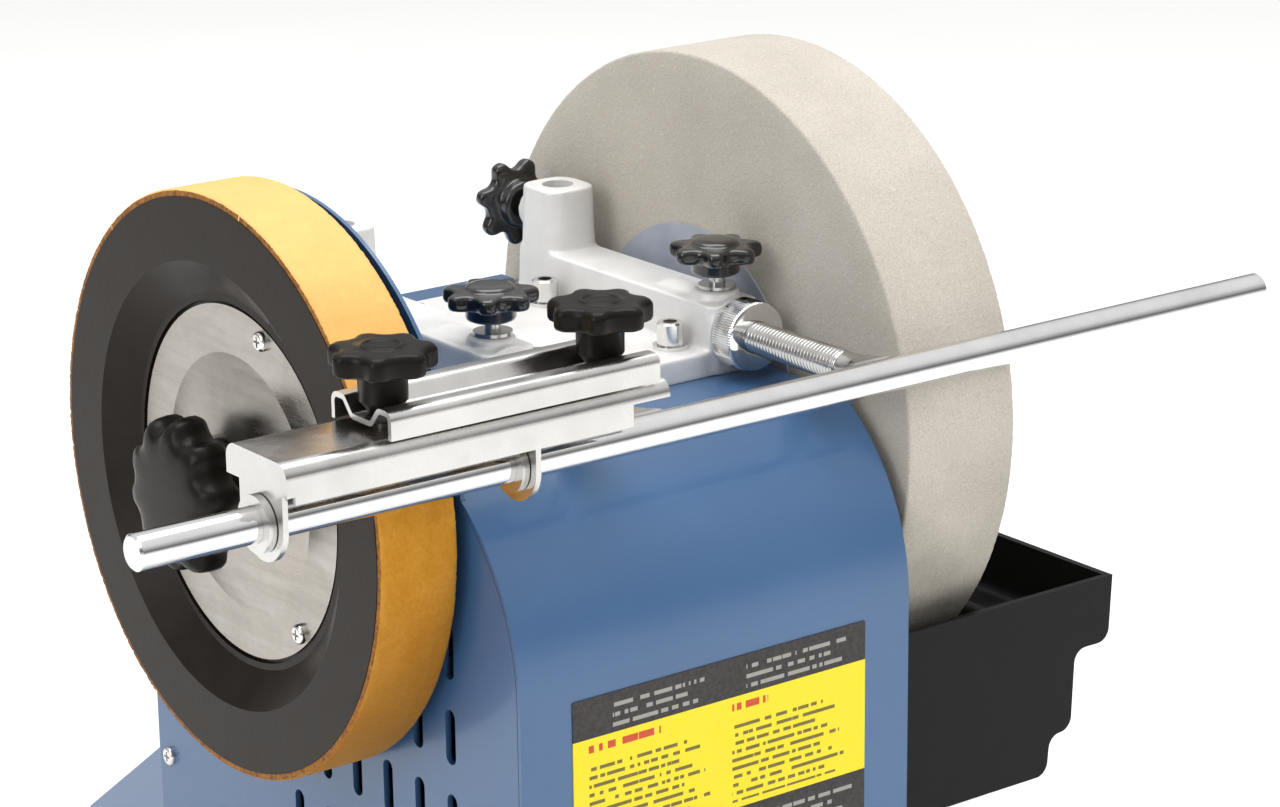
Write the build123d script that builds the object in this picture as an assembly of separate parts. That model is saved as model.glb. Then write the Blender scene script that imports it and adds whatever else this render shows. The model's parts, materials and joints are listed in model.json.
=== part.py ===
from build123d import *
from math import cos, hypot, radians, sin, sqrt, tan
import os

# Water-cooled bench grinder, in millimetres.
# The parts are drawn about the spindle: X runs along the spindle from the honing wheel's outer face to the
# stone, Y runs to the rear, Z is up and the spindle's axis is Y = Z = 0. The last section moves every part
# to the bench frame, whose origin is on the bench under the middle of the machine.

# ---- driving dimensions ----
SPINDLE_HEIGHT = 210.0          # spindle axis above the bench
FOOT_HEIGHT = 10.0
SHEET = 1.5                     # housing sheet
RUN_CLEARANCE = 0.05            # radial clearance of every running fit
GAP = 0.3                       # air between neighbours that move past each other

STONE_RADIUS = 125.0
STONE_WIDTH = 50.0
STONE_X = 209.5                 # the stone's inner face
HONING_RADIUS = 104.6           # over the leather
HONING_WIDTH = 30.0
LEATHER = 2.6                   # thickness of the leather band
DRUM_RADIUS = 95.5              # inside of the wheel's drum wall
SHAFT_RADIUS = 7.0
THREAD_RADIUS = 6.0             # threaded left end of the shaft

COVER_X = (35.0, 204.0)         # left and right edge of the front cover
LEFT_PANEL_X = 35.0             # outer face of the left panel
RIGHT_PANEL_X = 194.0           # outer face of the right panel
FRONT_Y = -131.5
SHOULDER_RADIUS = 80.0          # bend from the front into the top
SHOULDER_Z = -50.0              # where that bend starts
TOP_Z = 18.0
REAR_Y = 116.0
BASE_Z = FOOT_HEIGHT - SPINDLE_HEIGHT
PANEL_REAR_Y = 112.0
FLARE_TOP_Z = -143.0            # where the rear wall turns out into its sloping foot
FLARE_END = (194.0, -196.0)
FLARE_TAPER = 0.12              # the foot narrows towards the rear
PRESSED_DEPTH = 0.9             # panel pressed into the shoulder of the cover
GUARD_RADIUS = 100.9            # round guard behind the honing wheel
VENT_SIZE = (20.0, 6.0)
VENT_RELIEF = 2.0               # how much larger the openings in the frame wall are
VENT_CLEAR_RADIUS = 97.0        # no vents inside this radius, behind the honing wheel

BAR_RADIUS = 6.0
BAR_X = (-104.2, 377.8)
BAR_Y = -129.0
BAR_Z = 33.5
LEG_X = (91.0, 190.5)           # plain leg, threaded leg
LEG_END_Y = 15.0
NUT_RADIUS = 13.0
NUT_WIDTH = 11.6

ARM_HALF_WIDTH = 12.5
ARM_Y = (-51.0, 72.0)
ARM_TOP_Z = 44.0
PLATE_Y = (-50.0, 77.0)
PLATE_TOP_Z = 27.5
POST_Y = 59.0
POST_HALF_DEPTH = 13.0
POST_TOP_Z = 68.0
POST_BORE_DEPTH = 40.0
ARM_KNOB_Y = -39.5
POST_KNOB_Z = 56.0
BOSS_HEIGHT = 3.5
BOSS_END_Y = ARM_Y[1] + 2.0     # rear end of the boss under a post knob
STUD_RADIUS = 3.0
KNOB_RADIUS = 17.2
KNOB_LOBES = 7
KNOB_LIFT = 5.2                 # collar's underside above its boss
CASTING_SCREW_X = (111.5, 171.5)
CASTING_SCREW_Y = (-36.0, 42.0)

JIG_X = (-58.5, 88.5)
JIG_Y = (BAR_Y - 15.5, BAR_Y + 20.0)
JIG_TOP_Z = BAR_Z + 21.9
JIG_SHEET = 2.0
JIG_LUG_X = (-58.5, 36.5)       # left faces of the two lugs that ride on the bar
JIG_LUG_RADIUS = 12.5
JIG_BUSH_RADIUS = 8.0
CLAMP_X = (-20.1, 84.5)
CLAMP_SHEET = 1.8
JIG_KNOB_X = (-11.1, 73.5)
JIG_KNOB_Y = BAR_Y + 1.5
JIG_STUD_RADIUS = 4.0
JIG_KNOB_RADIUS = 17.7
CLAMP_RIDGE_Z = JIG_TOP_Z + 8.6
CLAMP_VALLEY_Z = JIG_TOP_Z + 3.3
CLAMP_SEAT_Z = CLAMP_VALLEY_Z + CLAMP_SHEET / 2

CAP_SCREW_RADIUS = 59.0
CAP_SCREW_ANGLES = (110.0, 230.0, 350.0)
HAND_NUT_X = (-21.0, 3.6)
HAND_NUT_RADIUS = 28.25
BEARING_X = ((38.1, 52.0), (177.0, 190.9))
BEARING_RADIUS = 10.0
SHAFT_END_X = 280.0
BLOTTER_RADIUS = 60.0
FLANGE_RADIUS = 28.0

MOTOR_Y = 40.0
ROLLER_RADIUS = 7.2
RING_RADIUS = 90.0              # bore of the rubber ring that the roller runs in
MOTOR_Z = -sqrt((RING_RADIUS - ROLLER_RADIUS - GAP) ** 2 - MOTOR_Y ** 2)
MOTOR_RADIUS = 52.0
MOTOR_X = (60.0, 165.0)

TROUGH_X = (198.5, 317.5)
TROUGH_HALF_LENGTH = 118.0
TROUGH_RIM_Z = -70.0
TROUGH_WALL = 2.5
TROUGH_STEPS = ((316.0, -96.0), (297.5, -127.5), (285.5, -143.0))       # right wall and tread of each step
TROUGH_TRAVEL = 40.0
CARRIER_HALF_LENGTH = 95.0
CARRIER_TOP_Z = -52.0
CARRIER_SCREW_Y = (-40.0, 40.0)
CARRIER_SCREW_Z = -104.0
CARRIER_SCREW_RADIUS = 2.9

SWITCH_X = 120.0
SWITCH_Z = -160.0
SWITCH_HALF_WIDTH = 12.0
SWITCH_HALF_HEIGHT = 16.0
SWITCH_HOLE = ((SWITCH_X - SWITCH_HALF_WIDTH, SWITCH_X + SWITCH_HALF_WIDTH),
               (SWITCH_Z - SWITCH_HALF_HEIGHT, SWITCH_Z + SWITCH_HALF_HEIGHT))
ROCKER_SWING = 9.0              # degrees each way
ROCKER_PIN_RADIUS = 1.5
ROCKER_PIVOT = (FRONT_Y + 3.0, SWITCH_Z)
GLAND_RADIUS = 8.0
GLAND_AT = (62.0, -60.0)
PANEL_SCREWS = ((103.5, -142.0), (98.0, -8.0), (-112.0, -192.0), (60.0, -192.0))
PANEL_SCREW_RADIUS = 2.0
FOOT_PLACES = ((58.0, -108.0), (176.0, -108.0), (62.0, 168.0), (168.0, 168.0))

BENCH = ((BAR_X[0] + BAR_X[1]) / -2, -24.4, SPINDLE_HEIGHT)         # spindle frame to bench frame


# ---- small builders ----
def rod(axis, radius, start, end, at=(0.0, 0.0)):
    """Round bar along an axis; `at` gives its place in the two other directions."""
    middle = (start + end) / 2
    places = {
        "x": Pos(middle, *at) * Rot(0, 90, 0),
        "y": Pos(at[0], middle, at[1]) * Rot(-90, 0, 0),
        "z": Pos(*at, middle),
    }
    return places[axis] * Cylinder(radius, end - start)


def tube(axis, outer, inner, start, end, at=(0.0, 0.0)):
    return rod(axis, outer, start, end, at) - rod(axis, inner, start - 1, end + 1, at)


def block(x, y, z):
    """Box between two corners, given as three (low, high) pairs."""
    size = [pair[1] - pair[0] for pair in (x, y, z)]
    middle = [(pair[0] + pair[1]) / 2 for pair in (x, y, z)]
    return Pos(*middle) * Box(*size)


def group(*shapes):
    return Compound(children=[solid for shape in shapes for solid in shape.solids()])


def prism_x(face, start, end):
    """Push a face drawn in (Y, Z) along X."""
    plane = Plane(origin=(start, 0, 0), x_dir=(0, 1, 0), z_dir=(1, 0, 0))
    return extrude(plane * face, end - start)


def prism_y(face, start, end):
    """Push a face drawn in (X, Z) along Y."""
    plane = Plane(origin=(0, end, 0), x_dir=(1, 0, 0), z_dir=(0, -1, 0))
    return extrude(plane * face, end - start)


def turned_x(points):
    """Turn an outline of (x, radius) points about the spindle."""
    face = make_face(Plane.XY * Polyline(*points, close=True))
    return revolve(face, Axis.X, 360)


def rounded(shape, axis, radius):
    return fillet(shape.edges().filter_by(axis), radius)


def slot_face(length, width):
    return Rot(0, 0, 90) * SlotOverall(length, width)


# ---- housing ----
def housing_outline(inset, low_z, rear_y):
    """Side view of the housing: upright front, round shoulder, flat top."""
    front = FRONT_Y + inset
    top = TOP_Z - inset
    radius = SHOULDER_RADIUS - inset
    centre_y = FRONT_Y + SHOULDER_RADIUS
    shoulder_y = centre_y - sqrt(radius ** 2 - (top - SHOULDER_Z) ** 2)
    bend_angle = 40.0
    bend = (centre_y - radius * cos(radians(bend_angle)), SHOULDER_Z + radius * sin(radians(bend_angle)))
    outline = [
        Line((front, low_z), (front, SHOULDER_Z)),
        ThreePointArc((front, SHOULDER_Z), bend, (shoulder_y, top)),
        Line((shoulder_y, top), (rear_y, top)),
        Line((rear_y, top), (rear_y, low_z)),
        Line((rear_y, low_z), (front, low_z)),
    ]
    return make_face(Curve() + outline)


def foot_outline(inset):
    """Side view of the sloping foot behind the rear wall."""
    end_y, end_z = FLARE_END
    start_y = REAR_Y - 20
    return make_face(Polyline(
        (start_y, BASE_Z + inset), (start_y, FLARE_TOP_Z - inset), (REAR_Y - inset, FLARE_TOP_Z - inset),
        (end_y - inset, end_z - inset), (end_y - inset, BASE_Z + inset), close=True))


def plan_outline(inset):
    """Plan of the chassis: straight sides that draw in towards the rear foot."""
    left = LEFT_PANEL_X + SHEET + inset
    right = RIGHT_PANEL_X - SHEET - inset
    draw_in = FLARE_TAPER * (FLARE_END[0] - PANEL_REAR_Y)
    return make_face(Polyline(
        (left, FRONT_Y - 9), (left, PANEL_REAR_Y), (left + draw_in, FLARE_END[0]),
        (right - draw_in, FLARE_END[0]), (right, PANEL_REAR_Y), (right, FRONT_Y - 9), close=True))


def base_frame():
    """Welded chassis: two side walls, rear wall, sloping foot and floor; front and top are open."""
    wide = (0.0, 230.0)
    outer = prism_x(housing_outline(SHEET, BASE_Z, REAR_Y), *wide) + prism_x(foot_outline(0.0), *wide)
    outer &= extrude(Pos(0, 0, BASE_Z) * plan_outline(0.0), TOP_Z - BASE_Z)
    hollow = block(wide, (FRONT_Y - 5, REAR_Y - SHEET), (BASE_Z + SHEET, TOP_Z + 5))
    hollow += prism_x(foot_outline(SHEET), *wide)
    hollow &= extrude(Pos(0, 0, BASE_Z) * plan_outline(SHEET), TOP_Z + 10 - BASE_Z)
    frame = outer - hollow
    frame -= rod("x", 16.0, 30, 45)
    frame -= rod("x", 16.0, 185, 200)
    frame -= rod("x", 12.0, 30, 45, (MOTOR_Y, MOTOR_Z))
    frame -= rod("y", GLAND_RADIUS, REAR_Y - 5, REAR_Y + 5, GLAND_AT)
    for y, z in vent_places():
        frame -= prism_x(Pos(y, z) * slot_face(*[size + VENT_RELIEF for size in VENT_SIZE]), *wide)
    return frame


def front_cover():
    """One bent sheet: front, shoulder and top, with a pressed panel on the shoulder."""
    skin = prism_x(housing_outline(0.0, BASE_Z, REAR_Y + SHEET), *COVER_X)
    skin -= prism_x(housing_outline(SHEET, BASE_Z - 5, REAR_Y), 0, 230)
    skin -= block((0, 230), (REAR_Y - 20, REAR_Y + 5), (BASE_Z - 5, TOP_Z - 12))
    pressed = prism_x(housing_outline(0.0, -47.0, 0.0), 52.0, 182.0)
    pressed -= prism_x(housing_outline(PRESSED_DEPTH, -60.0, 10.0), 50.0, 184.0)
    skin -= pressed & block((52.0, 182.0), (-140.0, -90.0), (-47.0, -6.0))
    skin -= block(SWITCH_HOLE[0], (FRONT_Y - 2, FRONT_Y + 3), SWITCH_HOLE[1])
    return skin - rod("x", GUARD_RADIUS + GAP, 30, LEFT_PANEL_X + SHEET + 0.2)


def vent_places():
    """(y, z) of the side vents: rows of upright slots outside the guard."""
    places = []
    for row_z in (-42.5, -73.5, -104.5, -135.5):
        for column in range(7):
            y = -90.0 + 20.0 * column
            if hypot(y, row_z) > VENT_CLEAR_RADIUS and (row_z > -120 or y < 20):
                places.append((y, row_z))
    return places


def panel_blank(x, inset):
    """Flat side plate with its vents."""
    sheet = prism_x(housing_outline(inset, BASE_Z, PANEL_REAR_Y), x, x + SHEET)
    for y, z in vent_places():
        sheet -= prism_x(Pos(y, z) * slot_face(*VENT_SIZE), x - 2, x + SHEET + 2)
    return sheet


def screw_holes(sheet, x):
    for y, z in PANEL_SCREWS:
        sheet -= rod("x", PANEL_SCREW_RADIUS, x - 2, x + SHEET + 2, (y, z))
    return sheet


def left_side_panel():
    """Side plate with a round guard behind the honing wheel."""
    x = LEFT_PANEL_X
    guard = rod("x", GUARD_RADIUS, x, x + SHEET)
    sheet = panel_blank(x, SHEET + GAP) + (guard & block((x, x + SHEET), (-110, 110), (0, 110)))
    sheet -= rod("x", 16.0, x - 2, x + 3)
    sheet -= rod("x", 12.0, x - 2, x + 3, (MOTOR_Y, MOTOR_Z))
    return screw_holes(sheet, x)


def right_side_panel():
    x = RIGHT_PANEL_X - SHEET
    sheet = panel_blank(x, SHEET + GAP)
    sheet -= rod("x", 16.0, x - 2, x + 3)
    return screw_holes(sheet, x)


def panel_screws():
    """Pan-head screws with cross slots, four in each side plate."""
    screws = []
    for x, way in ((LEFT_PANEL_X, -1), (RIGHT_PANEL_X, 1)):
        for y, z in PANEL_SCREWS:
            head = rod("x", 3.6, min(x, x + 2.2 * way), max(x, x + 2.2 * way), (y, z))
            head = fillet(head.faces().sort_by(Axis.X)[0 if way < 0 else -1].edges(), 1.2)
            cross_x = sorted((x + 1.2 * way, x + 3.0 * way))
            for half_y, half_z in ((2.0, 0.4), (0.4, 2.0)):
                head -= block(cross_x, (y - half_y, y + half_y), (z - half_z, z + half_z))
            shank = (x, x - SHEET * way)
            screws.append(head + rod("x", PANEL_SCREW_RADIUS, min(shank), max(shank), (y, z)))
    return group(*screws)


def rubber_feet():
    feet = []
    for place in FOOT_PLACES:
        foot = Pos(*place, BASE_Z - FOOT_HEIGHT / 2) * Cone(13.0, 15.0, FOOT_HEIGHT)
        feet.append(foot - Pos(*place, BASE_Z - FOOT_HEIGHT) * Cylinder(5.0, 8.0))
    return group(*feet)


def front_placard():
    """Plain printed plate on the front, without lettering."""
    plate = block((56.0, 183.5), (FRONT_Y - 0.4, FRONT_Y), (-127.0, -53.5))
    return rounded(plate, Axis.Y, 0.6)


# ---- switch and cable inlet ----
def switch_bezel():
    """Box behind the front sheet with a rim in front of it, open at the front for the rocker."""
    x, z = SWITCH_HOLE
    body = block(x, (FRONT_Y, FRONT_Y + 24), z)
    rim_x = (x[0] - 2, x[1] + 2)
    rim_z = (z[0] - 2, z[1] + 2)
    rim = rounded(block(rim_x, (FRONT_Y - 2, FRONT_Y), rim_z), Axis.Y, 2.5)
    well = block((x[0] + 3, x[1] - 3), (FRONT_Y - 3, FRONT_Y + 14), (z[0] + 3, z[1] - 3))
    pin_holes = rod("x", ROCKER_PIN_RADIUS + RUN_CLEARANCE, x[0] + 1, x[1] - 1, ROCKER_PIVOT)
    return body + rim - well - pin_holes


def switch_rocker():
    """Rocker that swings about X in the bezel's well."""
    x, z = SWITCH_HOLE
    half = SWITCH_HALF_HEIGHT - 3 - GAP - 0.4
    drop = half * tan(radians(ROCKER_SWING))
    face_y = FRONT_Y - 1.5
    outline = make_face(Polyline(
        (face_y - drop, SWITCH_Z + half - 1), (face_y, SWITCH_Z), (face_y - drop, SWITCH_Z - half + 1),
        (FRONT_Y + 4, SWITCH_Z - half + 1), (FRONT_Y + 9, SWITCH_Z - 4), (FRONT_Y + 9, SWITCH_Z + 4),
        (FRONT_Y + 4, SWITCH_Z + half - 1), close=True))
    pin = rod("x", ROCKER_PIN_RADIUS, x[0] + 1.2, x[1] - 1.2, ROCKER_PIVOT)
    return prism_x(outline, x[0] + 3 + GAP, x[1] - 3 - GAP) + pin


def cable_gland():
    """Screwed inlet in the rear wall."""
    collar = prism_y(Pos(*GLAND_AT) * RegularPolygon(11.0, 6), REAR_Y, REAR_Y + 6)
    barrel = rod("y", GLAND_RADIUS, REAR_Y - 12, REAR_Y, GLAND_AT)
    nose = rod("y", 9.0, REAR_Y + 6, REAR_Y + 16, GLAND_AT)
    nose = fillet(nose.faces().sort_by(Axis.Y)[-1].edges(), 3.0)
    return collar + barrel + nose - rod("y", 3.6, REAR_Y - 13, REAR_Y + 17, GLAND_AT)


# ---- support casting ----
def support_casting():
    """Aluminium casting: base plate, two arms bored level for the legs, two posts bored upright."""
    plate = block((LEG_X[0] - ARM_HALF_WIDTH, LEG_X[1] + ARM_HALF_WIDTH), PLATE_Y, (TOP_Z, PLATE_TOP_Z))
    casting = rounded(plate, Axis.Z, 3.0)
    for x in LEG_X:
        sides = (x - ARM_HALF_WIDTH, x + ARM_HALF_WIDTH)
        arm = rounded(block(sides, ARM_Y, (TOP_Z, ARM_TOP_Z)), Axis.Z, 4.0)
        arm = fillet(arm.faces().sort_by(Axis.Z)[-1].edges(), 3.5)
        depth = (POST_Y - POST_HALF_DEPTH, POST_Y + POST_HALF_DEPTH)
        post = rounded(block(sides, depth, (TOP_Z, POST_TOP_Z)), Axis.Z, 6.0)
        post = fillet(post.faces().sort_by(Axis.Z)[-1].edges(), 3.0)
        boss = rod("z", 8.7, ARM_TOP_Z - 4, ARM_TOP_Z + BOSS_HEIGHT, (x, ARM_KNOB_Y))
        boss += rod("y", 8.0, POST_Y, BOSS_END_Y, (x, POST_KNOB_Z))
        casting += arm + post + boss
    leg_bore = BAR_RADIUS + RUN_CLEARANCE
    stud_bore = STUD_RADIUS + RUN_CLEARANCE
    for x in LEG_X:
        casting -= rod("y", leg_bore, ARM_Y[0] - 5, LEG_END_Y + 2, (x, BAR_Z))
        casting -= rod("z", leg_bore, POST_TOP_Z - POST_BORE_DEPTH, POST_TOP_Z + 5, (x, POST_Y))
        casting -= rod("z", stud_bore, BAR_Z, ARM_TOP_Z + BOSS_HEIGHT + 5, (x, ARM_KNOB_Y))
        casting -= rod("y", stud_bore, POST_Y, BOSS_END_Y + 5, (x, POST_KNOB_Z))
    for place in casting_screw_places():
        casting -= rod("z", 3.0, TOP_Z - 5, PLATE_TOP_Z + 5, place)
    return casting


def casting_screw_places():
    return [(x, y) for x in CASTING_SCREW_X for y in CASTING_SCREW_Y]


def casting_screws():
    """Socket-head screws."""
    screws = []
    for place in casting_screw_places():
        seat = PLATE_TOP_Z + 1.2
        head = rod("z", 5.0, seat, seat + 8.5, place)
        head = chamfer(head.faces().sort_by(Axis.Z)[-1].edges(), 0.6)
        head -= Pos(*place, seat + 4.5) * extrude(RegularPolygon(2.9, 6), 5)
        screws.append(head + rod("z", 3.0, TOP_Z, seat, place))
    return group(*screws)


def casting_washers():
    seats = [tube("z", 6.5, 3.0, PLATE_TOP_Z, PLATE_TOP_Z + 1.2, place) for place in casting_screw_places()]
    return group(*seats)


# ---- clamping knobs of the casting ----
def scalloped(radius, count, scallop, centre, tip):
    """Disc outline with `count` scallops of radius `scallop` at radius `centre`; `tip` rounds the lobes."""
    outline = Circle(radius) - PolarLocations(centre, count) * Circle(scallop)
    return fillet(outline.vertices(), tip)


def star_knob():
    """Star head on a collar, built upwards from the collar's underside at Z = 0."""
    head = Pos(0, 0, 5.5) * extrude(scalloped(KNOB_RADIUS, KNOB_LOBES, 4.8, KNOB_RADIUS + 0.5, 2.4), 6.5)
    collar = Pos(0, 0, 2.75) * Cylinder(9.0, 5.5)
    dome = Pos(0, 0, 12.0) * Cylinder(11.0, 2.0)
    dome = fillet(dome.faces().sort_by(Axis.Z)[-1].edges(), 1.5)
    return head + collar + dome


def knob_stud(tip):
    """Stud below the knob with a loose flange on it; `tip` is how far it reaches down."""
    return Pos(0, 0, -tip / 2) * Cylinder(STUD_RADIUS, tip) + Pos(0, 0, -4.6) * Cylinder(7.0, 1.2)


def arm_knob_place(x):
    return Pos(x, ARM_KNOB_Y, ARM_TOP_Z + BOSS_HEIGHT + GAP + KNOB_LIFT)


def post_knob_place(x):
    return Pos(x, BOSS_END_Y + GAP + KNOB_LIFT, POST_KNOB_Z) * Rot(-90, 0, 0)


# ---- support bar ----
def support_bar():
    bar = rod("x", BAR_RADIUS, *BAR_X, (BAR_Y, BAR_Z))
    return chamfer(bar.edges().filter_by(GeomType.CIRCLE), 0.8)


def leg(x):
    """Leg welded to the bar, with its weld fillet."""
    shaft = rod("y", BAR_RADIUS, BAR_Y, LEG_END_Y, (x, BAR_Z))
    shaft = chamfer(shaft.faces().sort_by(Axis.Y)[-1].edges(), 1.0)
    weld = Pos(x, BAR_Y + 6.5, BAR_Z) * Rot(-90, 0, 0) * Cone(10.5, BAR_RADIUS, 7.0)
    weld &= block((x - 12, x + 12), (BAR_Y, LEG_END_Y), (BAR_Z - BAR_RADIUS, BAR_Z + BAR_RADIUS))
    return shaft + weld - rod("x", BAR_RADIUS, x - 20, x + 20, (BAR_Y, BAR_Z))


def adjusting_nut():
    end = ARM_Y[0] - GAP
    nut = tube("y", NUT_RADIUS, BAR_RADIUS + RUN_CLEARANCE, end - NUT_WIDTH, end, (LEG_X[1], BAR_Z))
    rims = nut.edges().filter_by(GeomType.CIRCLE).filter_by(lambda edge: edge.radius > NUT_RADIUS - 1)
    return fillet(rims, 1.0)


# ---- square-edge jig ----
def jig_lug(x):
    """Plate across the bar: a neck with a round end and the bush hole."""
    sides = (BAR_Y - JIG_LUG_RADIUS, BAR_Y + JIG_LUG_RADIUS)
    neck = block((x, x + JIG_SHEET), sides, (BAR_Z, JIG_TOP_Z - 1))
    return neck + rod("x", JIG_LUG_RADIUS, x, x + JIG_SHEET, (BAR_Y, BAR_Z))


def jig_base():
    """Pressed channel over the bar, closed at its left end, with two lugs that ride on the bar."""
    low_y, high_y = JIG_Y
    front_lip = (JIG_TOP_Z - 13.1, JIG_TOP_Z - 5.6)      # its lower edge: main length, right end
    rear_lip = JIG_TOP_Z - 10.4
    step_x = JIG_X[1] - 15.0
    outer = block(JIG_X, JIG_Y, (front_lip[0], JIG_TOP_Z))
    outer = fillet(outer.edges().filter_by(Axis.X).sort_by(Axis.Z)[-2:], 5.0)
    inner = block((JIG_X[0] + JIG_SHEET, JIG_X[1] + 5), (low_y + JIG_SHEET, high_y - JIG_SHEET),
                  (front_lip[0] - 5, JIG_TOP_Z - JIG_SHEET))
    inner = fillet(inner.edges().filter_by(Axis.X).sort_by(Axis.Z)[-2:], 3.0)
    channel = outer - inner
    channel -= block((JIG_X[0] - 1, JIG_X[1] + 1), (high_y - 8, high_y + 1), (front_lip[0] - 1, rear_lip))
    channel -= block((JIG_X[0] - 1, JIG_X[0] + 3), (low_y - 1, low_y + 3), (front_lip[0] - 1, rear_lip))
    channel -= block((step_x, JIG_X[1] + 1), (low_y - 1, low_y + 4), (front_lip[0] - 1, front_lip[1]))
    ear = (JIG_X[1] - 14, JIG_X[1] + 1)
    channel -= block(ear, (high_y - 6, high_y + 1), (front_lip[0] - 1, JIG_TOP_Z + 1))
    for x in JIG_LUG_X:
        channel += jig_lug(x)
    for x in JIG_LUG_X:
        channel -= rod("x", JIG_BUSH_RADIUS + RUN_CLEARANCE, x - 1, x + 3, (BAR_Y, BAR_Z))
    for x in JIG_KNOB_X:
        channel -= rod("z", JIG_STUD_RADIUS + RUN_CLEARANCE, JIG_TOP_Z - 5, JIG_TOP_Z + 5, (x, JIG_KNOB_Y))
    return channel


def jig_bushes():
    """Flanged bushes that slide along the bar; the lugs turn on them."""
    bushes = []
    for x in JIG_LUG_X:
        bush = rod("x", JIG_BUSH_RADIUS, x - GAP, x + JIG_SHEET, (BAR_Y, BAR_Z))
        bush += rod("x", 9.4, x - 3.0, x - GAP, (BAR_Y, BAR_Z))
        bushes.append(bush - rod("x", BAR_RADIUS + RUN_CLEARANCE, x - 5, x + 5, (BAR_Y, BAR_Z)))
    return group(*bushes)


def jig_clamp():
    """Pressed clamp bar: two ridges with a valley between them, standing on its two edges."""
    foot = JIG_TOP_Z + GAP
    middle = CLAMP_SHEET / 2
    front = JIG_Y[0] + middle
    rear = JIG_Y[1] - 1.3 - middle
    path = FilletPolyline(
        (rear, foot), (rear, CLAMP_RIDGE_Z), (rear - 6.2, CLAMP_RIDGE_Z), (rear - 10.7, CLAMP_VALLEY_Z),
        (front + 10.7, CLAMP_VALLEY_Z), (front + 6.2, CLAMP_RIDGE_Z), (front, CLAMP_RIDGE_Z), (front, foot),
        radius=2.4)
    profile = trace(path, CLAMP_SHEET)
    clamp = prism_x(profile, *CLAMP_X)
    for x in JIG_KNOB_X:
        clamp -= rod("z", JIG_STUD_RADIUS + RUN_CLEARANCE, foot - 5, CLAMP_RIDGE_Z + 5, (x, JIG_KNOB_Y))
    return clamp


def jig_knob():
    """Scalloped head on a plain stem, built upwards from the stem's underside at Z = 0."""
    stem = Pos(0, 0, 9.75) * Cylinder(8.0, 10.5) + Pos(0, 0, 2.25) * Cone(4.3, 8.0, 4.5)
    outline = scalloped(JIG_KNOB_RADIUS, KNOB_LOBES, 8.2, 22.7, 1.8)
    head = Pos(0, 0, 14.0) * extrude(outline, 8.0)
    head = chamfer(head.faces().sort_by(Axis.Z)[-1].edges(), 1.5)
    ring = Pos(0, 0, 22.3) * (Cylinder(7.0, 0.6) - Cylinder(5.6, 0.6))
    return stem + head + ring


def jig_stud(x):
    return rod("z", JIG_STUD_RADIUS, JIG_TOP_Z - JIG_SHEET - 8, CLAMP_SEAT_Z, (x, JIG_KNOB_Y))


# ---- spindle ----
def main_shaft():
    shaft = rod("x", THREAD_RADIUS, -14.0, 4.0)
    shaft += rod("x", SHAFT_RADIUS, 4.0, SHAFT_END_X)
    return chamfer(shaft.faces().sort_by(Axis.X)[-1].edges(), 1.0)


def bearing_blocks():
    """Flanged aluminium blocks on the inside of the two side walls."""
    blocks = []
    for start, end in BEARING_X:
        flange = (start, start + 4) if start < 100 else (end - 4, end)
        body = rod("x", 13.5, start, end) + rod("x", 15.5, *flange) + block(flange, (-30, 30), (-12, 12))
        blocks.append(body - rod("x", BEARING_RADIUS, start - 1, end + 1))
    return group(*blocks)


def bearing_bushes():
    bore = SHAFT_RADIUS + RUN_CLEARANCE
    return group(*[tube("x", BEARING_RADIUS, bore, start, end) for start, end in BEARING_X])


def honing_disc():
    """Moulded wheel: flat face ring, deep cone, seat for the cap, hub, and an open drum wall."""
    wall = HONING_RADIUS - LEATHER
    return turned_x([
        (0, wall), (0, 79.7), (9.0, 67.0), (9.0, 64.6), (10.7, 64.6), (10.7, SHAFT_RADIUS),
        (33.0, SHAFT_RADIUS), (33.0, 15.0), (15.5, 17.0), (14.7, 64.0), (13.6, 69.0), (5.0, 82.0),
        (5.0, DRUM_RADIUS), (HONING_WIDTH, DRUM_RADIUS), (HONING_WIDTH, wall)])


def friction_ring():
    """Rubber lining of the drum that the motor's roller drives."""
    return tube("x", DRUM_RADIUS, RING_RADIUS, 8.0, 29.0)


def leather_band():
    return tube("x", HONING_RADIUS, HONING_RADIUS - LEATHER, GAP, GAP + HONING_WIDTH)


def honing_cap():
    """Pressed steel disc with a raised cone in the middle."""
    cap = turned_x([
        (9.5, 63.2), (9.5, 46.0), (3.9, 18.0), (3.9, THREAD_RADIUS), (5.1, THREAD_RADIUS),
        (5.1, 18.0), (10.7, 46.0), (10.7, 63.2)])
    return cap - rod("x", SHAFT_RADIUS, 0, 12)


def cap_screw_places():
    turns = [radians(angle) for angle in CAP_SCREW_ANGLES]
    return [(CAP_SCREW_RADIUS * cos(turn), CAP_SCREW_RADIUS * sin(turn)) for turn in turns]


def honing_cap_screws():
    screws = []
    for y, z in cap_screw_places():
        head = rod("x", 3.6, 7.0, 9.5, (y, z))
        head = fillet(head.faces().sort_by(Axis.X)[0].edges(), 1.4)
        for half_y, half_z in ((2.0, 0.4), (0.4, 2.0)):
            head -= block((6.0, 8.2), (y - half_y, y + half_y), (z - half_z, z + half_z))
        screws.append(head)
    return group(*screws)


def honing_hand_nut():
    """Large fluted hand nut with a closed outer face."""
    outline = scalloped(HAND_NUT_RADIUS, 10, 7.5, HAND_NUT_RADIUS + 4.5, 1.6)
    start, end = HAND_NUT_X
    body = prism_x(outline, start, end - 8.0)
    body = chamfer(body.faces().sort_by(Axis.X)[0].edges(), 1.2)
    hub = rod("x", 17.0, end - 8.0, end)
    return body + hub - rod("x", THREAD_RADIUS + RUN_CLEARANCE, -15.0, end + 1)


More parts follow.
